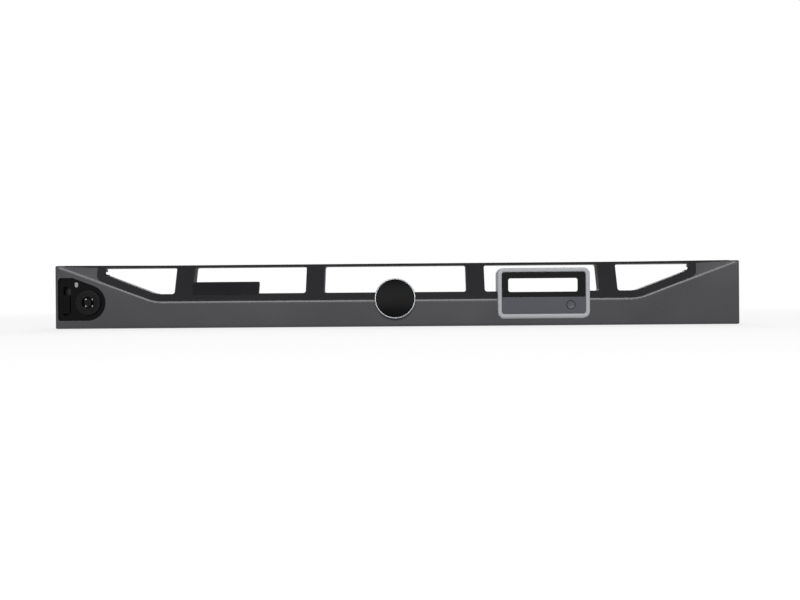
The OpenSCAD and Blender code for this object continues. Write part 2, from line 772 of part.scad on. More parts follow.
module lock_panel() {
    color(frame_black) in_place() difference() {
        union() {
            through(panel_recess, panel_back) polygon(panel_outline(fit));
            through(wall + fit, panel_back) polygon(panel_flange());
            for (z = guide_screw_z) rod(boss_r, panel_back - 0.2, guide_y, guide_screw_x, z);
        }
        rod(lock_body_r + running, 0, panel_back + 1, lock_x, lock_z);
        through(0, panel_back + 1) polygon(box_outline(slot_x, slot_x + slot_w, slot_z, slot_z + slot_h, 0.8));
        for (z = guide_screw_z) rod(pilot_r, 2.4, guide_y + 1, guide_screw_x, z);
        ear_holes(panel_ears(), 0, panel_back + 1);
        marker_dot(0, 1.9, 0.02);
    }
}

marker_r = 1.15;
marker_h = 1.2;                                      // straight length of the oval dot
marker_x = lock_x - 8.3;
marker_z = bezel_h - 13.3;

module marker_dot(y0, y1, grow) {
    for (s = [-1, 1]) rod(marker_r + grow, y0, y1, marker_x, marker_z + s * marker_h / 2);
    block(marker_x - marker_r - grow, marker_x + marker_r + grow, y0, y1,
        marker_z - marker_h / 2, marker_z + marker_h / 2);
}

module lock_marker() { color("#e4e4e2") in_place() marker_dot(panel_recess - 0.1, 1.9, 0); }

module panel_screws() {
    color(steel) in_place() for (p = panel_ears()) screw(p.x, panel_back, p.y, panel_back - 0.7);
}

module lock_housing() {
    color("#1d1d20") in_place() translate([lock_x, 0, lock_z]) rotate([-90, 0, 0]) difference() {
        union() {
            rotate_extrude() polygon(rounded([[0.1, lock_front, 0], [lock_face_r, lock_front, 0.6],
                [lock_face_r, panel_recess, 0], [0.1, panel_recess, 0]], 4));
            cylinder(r = lock_body_r, h = lock_back);
        }
        translate([0, 0, lock_front - 1]) cylinder(r = key_r, h = lock_back + 2);
        translate([0, 0, rotor_front]) cylinder(r = rotor_r + running, h = lock_back);
        translate([0, 0, lock_front - 1]) difference() {
            cylinder(r = 6, h = 1.3);
            cylinder(r = 5.6, h = 1.3);
        }
    }
}

module lock_nut() {
    color(steel) in_place() difference() {
        translate([lock_x, panel_back, lock_z]) rotate([-90, 0, 0]) cylinder(r = nut_r, h = nut_t, $fn = 6);
        rod(lock_body_r + running, panel_back - 1, panel_back + nut_t + 1, lock_x, lock_z);
    }
}

module lock_plug() {
    color("#3a3a3d") in_place() translate([lock_x, 0, lock_z]) rotate([-90, 0, 0]) difference() {
        union() {
            translate([0, 0, lock_front + 0.2]) cylinder(r = post_r, h = rotor_front + 1);
            translate([0, 0, rotor_front + 0.05]) cylinder(r = rotor_r, h = lock_back - rotor_front - 0.05);
            translate([0, 0, lock_back - 1]) cylinder(r = spindle_r, h = cam_y + cam_t - lock_back + 1);
        }
        translate([0, 0, lock_back - 5]) cylinder(r = pilot_r, h = 20);
        for (i = [0:pin_count - 1]) rotate([0, 0, 45 + 360 * i / pin_count])
            translate([pin_ring, 0, rotor_front - 1]) cylinder(r = pin_r + running, h = pin_len + pin_travel + 2, $fn = 24);
    }
}

module lock_pins() {
    color("#c9c4b4") in_place() translate([lock_x, 0, lock_z]) rotate([-90, 0, 0])
        for (i = [0:pin_count - 1]) rotate([0, 0, 45 + 360 * i / pin_count])
            translate([pin_ring, 0, rotor_front - pin_out]) cylinder(r = pin_r, h = pin_len, $fn = 24);
}

module lock_cam() {
    color(steel) in_place() difference() {
        through(cam_y, cam_y + cam_t) union() {
            translate([lock_x, lock_z]) circle(r = 5);
            polygon([[lock_x, lock_z - 5], [lock_x, lock_z + 5], [lock_x - cam_reach + 3, lock_z + 3],
                [lock_x - cam_reach + 3, lock_z - 3]]);
            translate([lock_x - cam_reach + 3, lock_z]) circle(r = 3);
        }
        rod(spindle_r + 0.02, cam_y - 1, cam_y + cam_t + 1, lock_x, lock_z);
    }
}

module cam_screw() {
    color(steel) in_place() screw(lock_x, cam_y + cam_t, lock_z, screw_len - 0.2);
}

// ---- latch ----

peg_z = [tab_z + 2.5, tab_z + tab_h - 2.5];
tab_x = slot_x + slot_w / 2;

// Finger tab with grip ridges, a shoe behind the panel and two pegs into the plate
module latch_tab() {
    color("#29292c") in_place() {
        difference() {
            through(0.5, plate_y - 1) polygon(box_outline(tab_x - tab_w / 2, tab_x + tab_w / 2,
                tab_z, tab_z + tab_h, 0.8));
            for (i = [0:3]) block(tab_x - tab_w, tab_x + tab_w, 0, 0.9, tab_z + 2.2 + 2.4 * i, tab_z + 3.2 + 2.4 * i);
        }
        block(tab_x - 3.3, tab_x + 3.3, panel_back + 0.3, plate_y, tab_z, tab_z + tab_h);
        for (z = peg_z) rod(0.9, plate_y - eps, plate_y + steel_t, tab_x, z);
    }
}

// Side view of a latch arm: a bar with a lip that points down behind the rack ear
function hook_profile(z) =
    rounded([[plate_y, z, 0], [rear_y - 2, z, 0.4], [rear_y - 2, z - lip_h, 0.3], [rear_y - 0.6, z - lip_h, 0.3],
        [rear_y, z + 1, 1], [rear_y, z + hook_h, 2], [plate_y, z + hook_h, 0]], 4);

module latch_plate() {
    color(steel) in_place() difference() {
        union() {
            through(plate_y, plate_y + steel_t)
                polygon(box_outline(plate_x, plate_x + plate_w, 6.5, plate_top, 1));
            for (z = hook_z) translate([plate_x, 0, 0]) rotate([90, 0, 90]) linear_extrude(steel_t)
                polygon(hook_profile(z));
            block(spring_x - 2.3, spring_x + 2.3, plate_y, spring_y + 2.3, spring_z0 - steel_t, spring_z0);
        }
        for (z = peg_z) rod(0.9 + 0.02, plate_y - 1, plate_y + steel_t + 0.4, tab_x, z);
    }
}

// Bracket behind the plate: a window for the spring seat, a shelf over the spring
module latch_guide() {
    y1 = guide_y + guide_t;
    color(frame_black) in_place() difference() {
        union() {
            through(guide_y, y1) polygon(box_outline(spring_x - 2.9, guide_screw_x + boss_r,
                guide_screw_z[0] - boss_r, guide_screw_z[1] + boss_r, 1.5));
            block(spring_x - 2.9, spring_x + 3.7, guide_y, spring_y + 2.6, spring_z1, spring_z1 + 1.4);
            translate([spring_x + 2.5, 0, 0]) rotate([90, 0, 90]) linear_extrude(1.2)
                polygon([[guide_y, spring_z1 - 5], [y1, spring_z1 - 5], [spring_y + 2.6, spring_z1],
                    [spring_y + 2.6, spring_z1 + 1], [guide_y, spring_z1 + 1]]);
        }
        rod(nut_r + 0.6, 0, body_d, lock_x, lock_z);
        block(spring_x - 2.3 - slide_gap / 2, spring_x + 2.3 + slide_gap / 2, 0, y1 + eps,
            spring_z0 - steel_t - 0.6, spring_z0 + latch_travel + 0.6);
        ear_holes([for (z = guide_screw_z) [guide_screw_x, z]], 0, body_d);
    }
}

// Ring of points round the wire at angle a of the coil
function coil_ring(a, z, sides) =
    [for (k = [0:sides - 1]) let (t = 360 * k / sides, r = spring_r + spring_wire / 2 * cos(t))
        [r * cos(a), r * sin(a), z + spring_wire / 2 * sin(t)]];

module latch_spring() {
    sides = 6;
    per_turn = 14;
    rings = spring_turns * per_turn;
    rise = spring_z1 - spring_z0 - spring_wire;
    points = [for (i = [0:rings]) each coil_ring(360 * i / per_turn, spring_wire / 2 + rise * i / rings, sides)];
    walls = [for (i = [0:rings - 1], k = [0:sides - 1]) let (n = (k + 1) % sides)
        [i * sides + k, (i + 1) * sides + k, (i + 1) * sides + n, i * sides + n]];
    ends = [[for (k = [0:sides - 1]) k], [for (k = [sides - 1:-1:0]) rings * sides + k]];
    color("#b8bcc0") in_place() translate([spring_x, spring_y, spring_z0])
        polyhedron(points, concat(walls, ends), convexity = 6);
}

module latch_screws() {
    color(steel) in_place() for (z = guide_screw_z) screw(guide_screw_x, guide_y + guide_t, z, guide_y + guide_t - 2.6);
}

// ---- hinge end ----

function tongue_profile(z) =
    rounded([[boss_y, z, 0], [rear_y - 3, z, 0], [rear_y - 3, z - 1.5, 0.3], [rear_y, z - 1, 0.8],
        [rear_y, z + tongue_h, 2], [boss_y, z + tongue_h, 0]], 4);

module hinge_plate() {
    color(steel) in_place() difference() {
        union() {
            through(boss_y, boss_y + steel_t) polygon(box_outline(hinge_screw_x - 4, hinge_x, hinge_z0, hinge_z1, 1));
            block(hinge_x - steel_t, hinge_x, boss_y, body_d - 3, hinge_z0, hinge_z1);
            for (z = tongue_z) translate([hinge_x - steel_t, 0, 0]) rotate([90, 0, 90])
                linear_extrude(steel_t) polygon(tongue_profile(z));
        }
        ear_holes([for (z = hinge_screw_z) [hinge_screw_x, z]], 0, body_d);
    }
}

module hinge_screws() {
    color(steel) in_place() for (z = hinge_screw_z) screw(hinge_screw_x, boss_y + steel_t, z, screw_len - 0.2);
}

// ---- contacts for the display ----

contact_back = body_d - 1;

module contact_housing() {
    x0 = contact_x - contact_w / 2;
    color(deep_black) in_place() difference() {
        union() {
            through(contact_y, contact_back) polygon(box_outline(x0, x0 + contact_w,
                contact_z - contact_h / 2, contact_z + contact_h / 2, 1.2));
            block(contact_x - contact_ear_x - boss_r, contact_x + contact_ear_x + boss_r, contact_y,
                contact_y + ear_t, contact_z - boss_r, contact_z + boss_r);
        }
        block(x0 + 1.6, x0 + contact_w - 1.6, contact_back - 1.4, contact_back + 1,
            contact_z - contact_h / 2 + 2, contact_z + contact_h / 2 - 2);
        ear_holes([for (s = [-1, 1]) [contact_x + s * contact_ear_x, contact_z]], contact_y - 1, contact_back);
        block(x0 - 1, x0 + 4, ribbon_y1 - ribbon_t / 2 - fit, ribbon_y1 + ribbon_t / 2 + fit,
            ribbon_z - fit, ribbon_z + ribbon_w + fit);
    }
}

module contact_pads() {
    pitch = (contact_w - 3.2) / contact_count;
    color(brass) in_place() for (i = [0:contact_count - 1])
        block(contact_x - contact_w / 2 + 1.6 + pitch * (i + 0.2), contact_x - contact_w / 2 + 1.6 + pitch * (i + 0.8),
            contact_back - 1.4, contact_back - 0.6, contact_z - contact_h / 2 + 2.4, contact_z + contact_h / 2 - 2.4);
}

module contact_screws() {
    color(steel) in_place() for (s = [-1, 1])
        screw(contact_x + s * contact_ear_x, contact_y + ear_t, contact_z, screw_len);
}

ribbon_bend = 3;
ribbon_y0 = connector_y + 2.4;                       // where it leaves the board's connector
ribbon_y1 = contact_y + 5;
ribbon_x1 = contact_x - contact_w / 2 + 3;

// Flat cable: straight back through the cover, round a bend, then along to the contact housing
function ease(t) = t * t * (3 - 2 * t);
function ribbon_bent(a) =
    [connector_x + ribbon_bend * (1 - cos(a)), ribbon_y0 + 1.8 + ribbon_bend * sin(a), ribbon_z + 4, a];
function ribbon_run(t) =
    let (start = ribbon_bent(90), u = ease(min(1, t / 0.75)))
    [start.x + (ribbon_x1 - start.x) * t, start.y + (ribbon_y1 - start.y) * u, start.z - 4 * u, 90];

module ribbon_cable() {
    path = concat([[connector_x, ribbon_y0, ribbon_z + 4, 0]], [for (a = [0:15:90]) ribbon_bent(a)],
        [for (i = [1:20]) ribbon_run(i / 20)]);
    n = len(path) - 1;
    points = [for (p = path) let (side = ribbon_t / 2 * [cos(p[3]), -sin(p[3]), 0], c = [p[0], p[1], p[2]]) each
        [c + side, c - side, c - side + [0, 0, ribbon_w], c + side + [0, 0, ribbon_w]]];
    walls = [for (i = [0:n - 1], k = [0:3]) let (m = (k + 1) % 4)
        [4 * i + k, 4 * i + m, 4 * i + 4 + m, 4 * i + 4 + k]];
    color("#9a9ca0") in_place()
        polyhedron(points, concat(walls, [[3, 2, 1, 0], [4 * n, 4 * n + 1, 4 * n + 2, 4 * n + 3]]));
}

fascia();
window_frame();
frame_screws();
nameplate();
badge_carrier();
badge_ring();
badge_disc();
badge_screws();
module_surround();
display_panel();
control_panel();
module_button();
module_board();
module_switch();
switch_stem();
board_connector();
board_screws();
module_cover();
module_screws();
lock_panel();
lock_marker();
panel_screws();
lock_housing();
lock_nut();
lock_plug();
lock_pins();
lock_cam();
cam_screw();
latch_tab();
latch_plate();
latch_guide();
latch_spring();
latch_screws();
hinge_plate();
hinge_screws();
contact_housing();
contact_pads();
contact_screws();
ribbon_cable();
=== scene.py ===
import json
import math

import bpy
from mathutils import Matrix, Vector


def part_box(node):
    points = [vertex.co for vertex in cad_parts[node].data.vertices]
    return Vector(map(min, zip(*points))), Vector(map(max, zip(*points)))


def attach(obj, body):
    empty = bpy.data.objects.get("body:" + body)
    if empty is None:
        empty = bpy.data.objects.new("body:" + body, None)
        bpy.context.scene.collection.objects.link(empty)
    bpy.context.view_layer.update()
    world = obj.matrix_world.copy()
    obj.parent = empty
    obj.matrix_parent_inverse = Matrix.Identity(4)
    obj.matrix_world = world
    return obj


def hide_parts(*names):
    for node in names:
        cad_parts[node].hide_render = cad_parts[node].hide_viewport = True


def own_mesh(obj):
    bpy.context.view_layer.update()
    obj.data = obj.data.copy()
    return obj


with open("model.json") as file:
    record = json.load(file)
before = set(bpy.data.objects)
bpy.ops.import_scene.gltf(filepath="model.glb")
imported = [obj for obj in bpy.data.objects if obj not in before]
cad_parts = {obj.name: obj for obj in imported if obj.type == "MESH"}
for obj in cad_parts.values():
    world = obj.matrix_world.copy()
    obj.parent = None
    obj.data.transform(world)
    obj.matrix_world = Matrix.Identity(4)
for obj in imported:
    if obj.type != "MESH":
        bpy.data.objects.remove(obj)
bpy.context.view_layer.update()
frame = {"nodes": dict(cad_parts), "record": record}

# ---- camera ----
# The camera stands half a metre in front of the bezel, level with its middle,
# turned by one degree and held with a slight roll.

camera_place = (0.0119, -0.5568, 0.0182)
camera_turn = math.radians(0.9)
camera_level = math.radians(90)
camera_roll = math.radians(-0.46)

camera_data = bpy.data.cameras.new("camera")
camera_data.lens = 35.7
camera_data.clip_start = 0.01
camera = bpy.data.objects.new("camera", camera_data)
bpy.context.scene.collection.objects.link(camera)
camera.matrix_world = (
    Matrix.Translation(camera_place)
    @ Matrix.Rotation(camera_turn, 4, "Z")
    @ Matrix.Rotation(camera_level, 4, "X")
    @ Matrix.Rotation(camera_roll, 4, "Z")
)
bpy.context.scene.camera = camera
bpy.context.scene.view_settings.view_transform = "Standard"

# ---- studio floor ----
# A smooth pale sheet on a table. It catches the shadow near the bezel and
# fades into the white of the room further out.

white = (1.0, 1.0, 1.0, 1.0)
paper_white = (0.8, 0.8, 0.8, 1.0)
floor_size = 12
# How far the paper shows as plain white, near the bezel and out in the room
near_glow, near_reach = 0.62, 0.1
far_glow, far_reach = 1.0, 1.3

bpy.ops.object.select_all(action="DESELECT")
bpy.ops.mesh.primitive_plane_add(size=floor_size)
floor = bpy.context.object
floor.name = "floor"
floor_paper = bpy.data.materials.new("floor_paper")
floor_paper.use_nodes = True
nodes = floor_paper.node_tree.nodes
links = floor_paper.node_tree.links
nodes.clear()
output = nodes.new("ShaderNodeOutputMaterial")
lit = nodes.new("ShaderNodeBsdfDiffuse")
lit.inputs["Color"].default_value = paper_white
glow = nodes.new("ShaderNodeEmission")
glow.inputs["Color"].default_value = white
blend = nodes.new("ShaderNodeMixShader")
rays = nodes.new("ShaderNodeLightPath")
seen = nodes.new("ShaderNodeMath")
seen.operation = "MAXIMUM"
seen_through = nodes.new("ShaderNodeMath")
seen_through.operation = "MAXIMUM"
place = nodes.new("ShaderNodeTexCoord")
reach = nodes.new("ShaderNodeVectorMath")
reach.operation = "LENGTH"
fade = nodes.new("ShaderNodeMapRange")
fade.interpolation_type = "SMOOTHSTEP"
fade.inputs["From Min"].default_value = near_reach
fade.inputs["From Max"].default_value = far_reach
fade.inputs["To Min"].default_value = near_glow
fade.inputs["To Max"].default_value = far_glow
share = nodes.new("ShaderNodeMath")
share.operation = "MULTIPLY"
links.new(rays.outputs["Is Camera Ray"], seen.inputs[0])
links.new(rays.outputs["Is Glossy Ray"], seen.inputs[1])
links.new(seen.outputs[0], seen_through.inputs[0])
links.new(rays.outputs["Is Transmission Ray"], seen_through.inputs[1])
links.new(place.outputs["Object"], reach.inputs[0])
links.new(reach.outputs["Value"], fade.inputs["Value"])
links.new(fade.outputs["Result"], share.inputs[0])
links.new(seen_through.outputs[0], share.inputs[1])
links.new(share.outputs[0], blend.inputs["Fac"])
links.new(lit.outputs[0], blend.inputs[1])
links.new(glow.outputs[0], blend.inputs[2])
links.new(blend.outputs[0], output.inputs["Surface"])
floor.data.materials.append(floor_paper)

# ---- studio room ----
# White walls for what the camera and the shiny parts see, and a soft even
# glow for what only lights the bezel.

soft_glow = 0.25
full_white = 1.0
mirrored_share = 0.3

room = bpy.data.worlds.new("room")
bpy.context.scene.world = room
room.use_nodes = True
nodes = room.node_tree.nodes
links = room.node_tree.links
nodes.clear()
output = nodes.new("ShaderNodeOutputWorld")
walls = nodes.new("ShaderNodeBackground")
walls.inputs["Color"].default_value = white
rays = nodes.new("ShaderNodeLightPath")
seen = nodes.new("ShaderNodeMath")
seen.operation = "MAXIMUM"
mirrored = nodes.new("ShaderNodeMath")
mirrored.operation = "MULTIPLY"
mirrored.inputs[1].default_value = mirrored_share
level = nodes.new("ShaderNodeMapRange")
level.inputs["To Min"].default_value = soft_glow
level.inputs["To Max"].default_value = full_white
shown = nodes.new("ShaderNodeMath")
shown.operation = "MAXIMUM"
links.new(rays.outputs["Is Glossy Ray"], mirrored.inputs[0])
links.new(mirrored.outputs[0], seen.inputs[0])
links.new(rays.outputs["Is Camera Ray"], seen.inputs[1])
links.new(seen.outputs[0], shown.inputs[0])
links.new(rays.outputs["Is Transmission Ray"], shown.inputs[1])
links.new(shown.outputs[0], level.inputs["Value"])
links.new(level.outputs["Result"], walls.inputs["Strength"])
links.new(walls.outputs[0], output.inputs["Surface"])

# ---- studio lamps ----
# A long strip over the camera draws the light line along the crease. A big
# box overhead lights the top, and a broad panel fills the back.

bezel_middle = (0, 0, 0.02)


def soft_box(name, width, depth, watts, place):
    """A rectangular lamp turned to the middle of the bezel."""
    lamp = bpy.data.lights.new(name, "AREA")
    lamp.shape = "RECTANGLE"
    lamp.size = width
    lamp.size_y = depth
    lamp.energy = watts
    box = bpy.data.objects.new(name, lamp)
    bpy.context.scene.collection.objects.link(box)
    toward = Vector(bezel_middle) - Vector(place)
    facing = toward.to_track_quat("-Z", "Y").to_matrix().to_4x4()
    box.matrix_world = Matrix.Translation(place) @ facing


soft_box("strip", width=1.8, depth=0.3, watts=13.0, place=(0.05, -1.05, 0.48))
soft_box("overhead", width=1.6, depth=1.2, watts=7.0, place=(0, 0.1, 1.25))
soft_box("back_fill", width=1.8, depth=0.8, watts=15.0, place=(0.2, 1.5, 0.8))

# ---- fascia ----
# The fascia is a thin-walled injection moulding, painted in a fine satin
# graphite grey. Its front bends back along a crease that climbs to both ends.

body_of_node = {n: b for b, ns in frame["record"]["behaviour"]["bodies"].items() for n in ns}
mm = 0.001


def shade(red, green, blue):
    """A colour as it shows on a screen, 0 to 255, as the numbers a shader takes."""
    def straight(v):
        v /= 255
        return v / 12.92 if v <= 0.04045 else ((v + 0.055) / 1.055) ** 2.4
    return (straight(red), straight(green), straight(blue), 1.0)


def node_group(name, inputs, outputs):
    """An empty shader group with its number inputs and outputs, and its two end nodes."""
    group = bpy.data.node_groups.new(name, "ShaderNodeTree")
    for title, value in inputs.items():
        socket = group.interface.new_socket(title, in_out="INPUT", socket_type="NodeSocketFloat")
        socket.default_value = value
    for title in outputs:
        group.interface.new_socket(title, in_out="OUTPUT", socket_type="NodeSocketFloat")
    return group, group.nodes.new("NodeGroupInput"), group.nodes.new("NodeGroupOutput")


# Fine pitted skin of paint and moulded plastic, as a height
skin_grain, grain_in, grain_out = node_group("skin_grain", {"Scale": 2500.0}, ["Height"])
place = skin_grain.nodes.new("ShaderNodeTexCoord")
pits = skin_grain.nodes.new("ShaderNodeTexNoise")
pits.inputs["Detail"].default_value = 2.0
pits.inputs["Roughness"].default_value = 0.55
skin_grain.links.new(place.outputs["Object"], pits.inputs["Vector"])
skin_grain.links.new(grain_in.outputs["Scale"], pits.inputs["Scale"])
skin_grain.links.new(pits.outputs["Fac"], grain_out.inputs["Height"])

# Slow patches of handling and cleaning, and scattered specks of dust, as masks
handling, handling_in, handling_out = node_group(
    "handling",
    {"Patch Scale": 28.0, "Speck Scale": 900.0, "Speck Amount": 0.5},
    ["Patches", "Specks"])
place = handling.nodes.new("ShaderNodeTexCoord")
patches = handling.nodes.new("ShaderNodeTexNoise")
patches.inputs["Detail"].default_value = 1.5
patch_range = handling.nodes.new("ShaderNodeMapRange")
patch_range.inputs["From Min"].default_value = 0.15
patch_range.inputs["From Max"].default_value = 0.85
specks = handling.nodes.new("ShaderNodeTexVoronoi")
speck_cut = handling.nodes.new("ShaderNodeMapRange")
speck_cut.inputs["From Min"].default_value = 0.16
speck_cut.inputs["From Max"].default_value = 0.05
spread = handling.nodes.new("ShaderNodeTexNoise")
spread.inputs["Scale"].default_value = 60.0
spread_cut = handling.nodes.new("ShaderNodeMapRange")
spread_cut.inputs["From Min"].default_value = 0.5
spread_cut.inputs["From Max"].default_value = 0.75
thin = handling.nodes.new("ShaderNodeMath")
thin.operation = "MULTIPLY"
amount = handling.nodes.new("ShaderNodeMath")
amount.operation = "MULTIPLY"
for texture in (patches, specks, spread):
    handling.links.new(place.outputs["Object"], texture.inputs["Vector"])
handling.links.new(handling_in.outputs["Patch Scale"], patches.inputs["Scale"])
handling.links.new(handling_in.outputs["Speck Scale"], specks.inputs["Scale"])
handling.links.new(patches.outputs["Fac"], patch_range.inputs["Value"])
handling.links.new(specks.outputs["Distance"], speck_cut.inputs["Value"])
handling.links.new(spread.outputs["Fac"], spread_cut.inputs["Value"])
handling.links.new(speck_cut.outputs["Result"], thin.inputs[0])
handling.links.new(spread_cut.outputs["Result"], thin.inputs[1])
handling.links.new(thin.outputs[0], amount.inputs[0])
handling.links.new(handling_in.outputs["Speck Amount"], amount.inputs[1])
handling.links.new(patch_range.outputs["Result"], handling_out.inputs["Patches"])
handling.links.new(amount.outputs[0], handling_out.inputs["Specks"])

# Painted highlight on corners, where the face turns within the given radius, as a mask
painted_edge_highlight, edge_highlight_in, edge_highlight_out = node_group(
    "painted_edge_highlight", {"Radius": 0.6 * mm, "Scale": 220.0}, ["Mask"])
turned_face = painted_edge_highlight.nodes.new("ShaderNodeBevel")
turned_face.samples = 6
flat_face = painted_edge_highlight.nodes.new("ShaderNodeNewGeometry")
agreement = painted_edge_highlight.nodes.new("ShaderNodeVectorMath")
agreement.operation = "DOT_PRODUCT"
edge_range = painted_edge_highlight.nodes.new("ShaderNodeMapRange")
edge_range.inputs["From Min"].default_value = 0.985
edge_range.inputs["From Max"].default_value = 0.85
place = painted_edge_highlight.nodes.new("ShaderNodeTexCoord")
uneven = painted_edge_highlight.nodes.new("ShaderNodeTexNoise")
uneven.inputs["Detail"].default_value = 3.0
uneven_range = painted_edge_highlight.nodes.new("ShaderNodeMapRange")
uneven_range.inputs["From Min"].default_value = 0.4
uneven_range.inputs["From Max"].default_value = 0.65
# The mask marks where a lighter colour is painted on as a highlight along the edges
edge_mask = painted_edge_highlight.nodes.new("ShaderNodeMath")
edge_mask.operation = "MULTIPLY"
painted_edge_highlight.links.new(edge_highlight_in.outputs["Radius"], turned_face.inputs["Radius"])
painted_edge_highlight.links.new(turned_face.outputs["Normal"], agreement.inputs[0])
painted_edge_highlight.links.new(flat_face.outputs["Normal"], agreement.inputs[1])
painted_edge_highlight.links.new(agreement.outputs["Value"], edge_range.inputs["Value"])
painted_edge_highlight.links.new(place.outputs["Object"], uneven.inputs["Vector"])
painted_edge_highlight.links.new(edge_highlight_in.outputs["Scale"], uneven.inputs["Scale"])
painted_edge_highlight.links.new(uneven.outputs["Fac"], uneven_range.inputs["Value"])
painted_edge_highlight.links.new(edge_range.outputs["Result"], edge_mask.inputs[0])
painted_edge_highlight.links.new(uneven_range.outputs["Result"], edge_mask.inputs[1])
painted_edge_highlight.links.new(edge_mask.outputs[0], edge_highlight_out.inputs["Mask"])


# Sockets of a colour mix
MIX_SHARE, MIX_FIRST, MIX_SECOND, MIX_RESULT = 0, 6, 7, 2
dust_grey = (0.3, 0.29, 0.27, 1.0)


def finish(name, colour, roughness, specular, metallic=0.0, skin=skin_grain, grain=2500.0,
           grain_depth=0.02 * mm, patch=0.12, gloss_patch=0.08, edge_highlight=None, speck_amount=0.25):
    """A surface finish: its colour, patched by handling, with a painted highlight of lighter colour
    on its corners and specks of dust, over a skin whose group gives the height."""
    material = bpy.data.materials.new(name)
    material.use_nodes = True
    material.diffuse_color = colour
    nodes, links = material.node_tree.nodes, material.node_tree.links
    surface = nodes["Principled BSDF"]
    surface.inputs["Metallic"].default_value = metallic
    surface.inputs["Specular IOR Level"].default_value = specular

    marks = nodes.new("ShaderNodeGroup")
    marks.node_tree = handling
    marks.inputs["Speck Amount"].default_value = speck_amount
    tone = nodes.new("ShaderNodeMix")
    tone.data_type = "RGBA"
    tone.inputs[MIX_FIRST].default_value = (*(c * (1 - patch) for c in colour[:3]), 1.0)
    tone.inputs[MIX_SECOND].default_value = (*(c * (1 + patch) for c in colour[:3]), 1.0)
    links.new(marks.outputs["Patches"], tone.inputs[MIX_SHARE])
    last = tone.outputs[MIX_RESULT]
    # Painted highlight: the corners take a lighter colour, standing in for light caught along the
    # edges
    if edge_highlight:
        edges = nodes.new("ShaderNodeGroup")
        edges.node_tree = painted_edge_highlight
        edge_lit = nodes.new("ShaderNodeMix")
        edge_lit.data_type = "RGBA"
        edge_lit.inputs[MIX_SECOND].default_value = edge_highlight
        links.new(edges.outputs["Mask"], edge_lit.inputs[MIX_SHARE])
        links.new(last, edge_lit.inputs[MIX_FIRST])
        last = edge_lit.outputs[MIX_RESULT]
    dust = nodes.new("ShaderNodeMix")
    dust.data_type = "RGBA"
    dust.inputs[MIX_SECOND].default_value = dust_grey
    links.new(marks.outputs["Specks"], dust.inputs[MIX_SHARE])
    links.new(last, dust.inputs[MIX_FIRST])
    links.new(dust.outputs[MIX_RESULT], surface.inputs["Base Color"])

    sheen = nodes.new("ShaderNodeMapRange")
    sheen.inputs["To Min"].default_value = roughness - gloss_patch / 2
    sheen.inputs["To Max"].default_value = roughness + gloss_patch / 2
    links.new(marks.outputs["Patches"], sheen.inputs["Value"])
    links.new(sheen.outputs["Result"], surface.inputs["Roughness"])

    relief = nodes.new("ShaderNodeGroup")
    relief.node_tree = skin
    relief.inputs["Scale"].default_value = grain
    bump = nodes.new("ShaderNodeBump")
    bump.inputs["Distance"].default_value = grain_depth
    links.new(relief.outputs["Height"], bump.inputs["Height"])
    links.new(bump.outputs["Normal"], surface.inputs["Normal"])
    return material


# Points closer than the weld become one; faces within the flat angle join up;
# edges past the sharp angle are rounded, and those under the smooth one shade over
weld = 1e-6
flat_angle = math.radians(0.5)
sharp_angle = math.radians(26)
smooth_angle = math.radians(32)


def only_selected(piece):
    bpy.ops.object.select_all(action="DESELECT")
    piece.select_set(True)
    bpy.context.view_layer.objects.active = piece


def corners_rounded(piece, corner, steps=2):
    """Rounds the sharp edges and evens the shading of the faces beside them."""
    only_selected(piece)
    bevel = piece.modifiers.new("corners", "BEVEL")
    bevel.width = corner
    bevel.segments = steps
    bevel.limit_method = "ANGLE"
    bevel.angle_limit = sharp_angle
    bpy.ops.object.modifier_apply(modifier="corners")
    bpy.ops.object.shade_smooth_by_angle(angle=smooth_angle)
    even = piece.modifiers.new("even", "WEIGHTED_NORMAL")
    even.keep_sharp = True
    even.weight = 100
    bpy.ops.object.modifier_apply(modifier="even")


def moulding(node, material, corner, steps=2):
    """The CAD solid's mesh, its loose triangles joined into faces and its sharp edges rounded."""
    solid = frame["nodes"][node]
    solid.data.materials.clear()
    solid.data.materials.append(material)
    piece = bpy.data.objects.new(node + "_finished", solid.data.copy())
    bpy.context.scene.collection.objects.link(piece)
    only_selected(piece)
    bpy.ops.object.mode_set(mode="EDIT")
    bpy.ops.mesh.select_all(action="SELECT")
    bpy.ops.mesh.remove_doubles(threshold=weld)
    bpy.ops.mesh.dissolve_limited(angle_limit=flat_angle)
    bpy.ops.object.mode_set(mode="OBJECT")
    if corner:
        corners_rounded(piece, corner, steps)
    else:
        bpy.ops.object.shade_smooth_by_angle(angle=smooth_angle)
    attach(piece, body_of_node[node])
    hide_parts(node)
    return piece


# The second, lighter grey is a painted highlight on the corners
grey_paint = finish("grey_paint", shade(48, 47, 51), 0.3, 0.55, edge_highlight=shade(80, 79, 83),
                    grain=2600.0)
moulding("fascia", grey_paint, 0.4 * mm)

# ---- window frame ----
# The black frame is a second moulding with the windows' sides behind it, set
# into the fascia from behind and held by five screws in ears under its rail.

# The second, lighter colour is a painted highlight on the corners
frame_plastic = finish("frame_plastic", shade(24, 24, 27), 0.46, 0.12, edge_highlight=shade(44, 44, 47),
                       grain=1900.0, grain_depth=0.03 * mm)
window_frame = moulding("window_frame", frame_plastic, 0)


# An end window as (x, z) from the front: its sill climbs from the inner corner,
# and the outer end stands upright between two rounded corners
sill_start = (166.2 * mm, 24.03 * mm)
sill_slope = math.tan(math.radians(20.63))
cut_from = 190 * mm
outer_side = 201.5 * mm
head = 41.96 * mm
sill_round = 2.2 * mm
head_round = 1.2 * mm
round_steps = 4
cut_depth = 60 * mm


def sill_at(x):
    return sill_start[1] + (x - sill_start[0]) * sill_slope


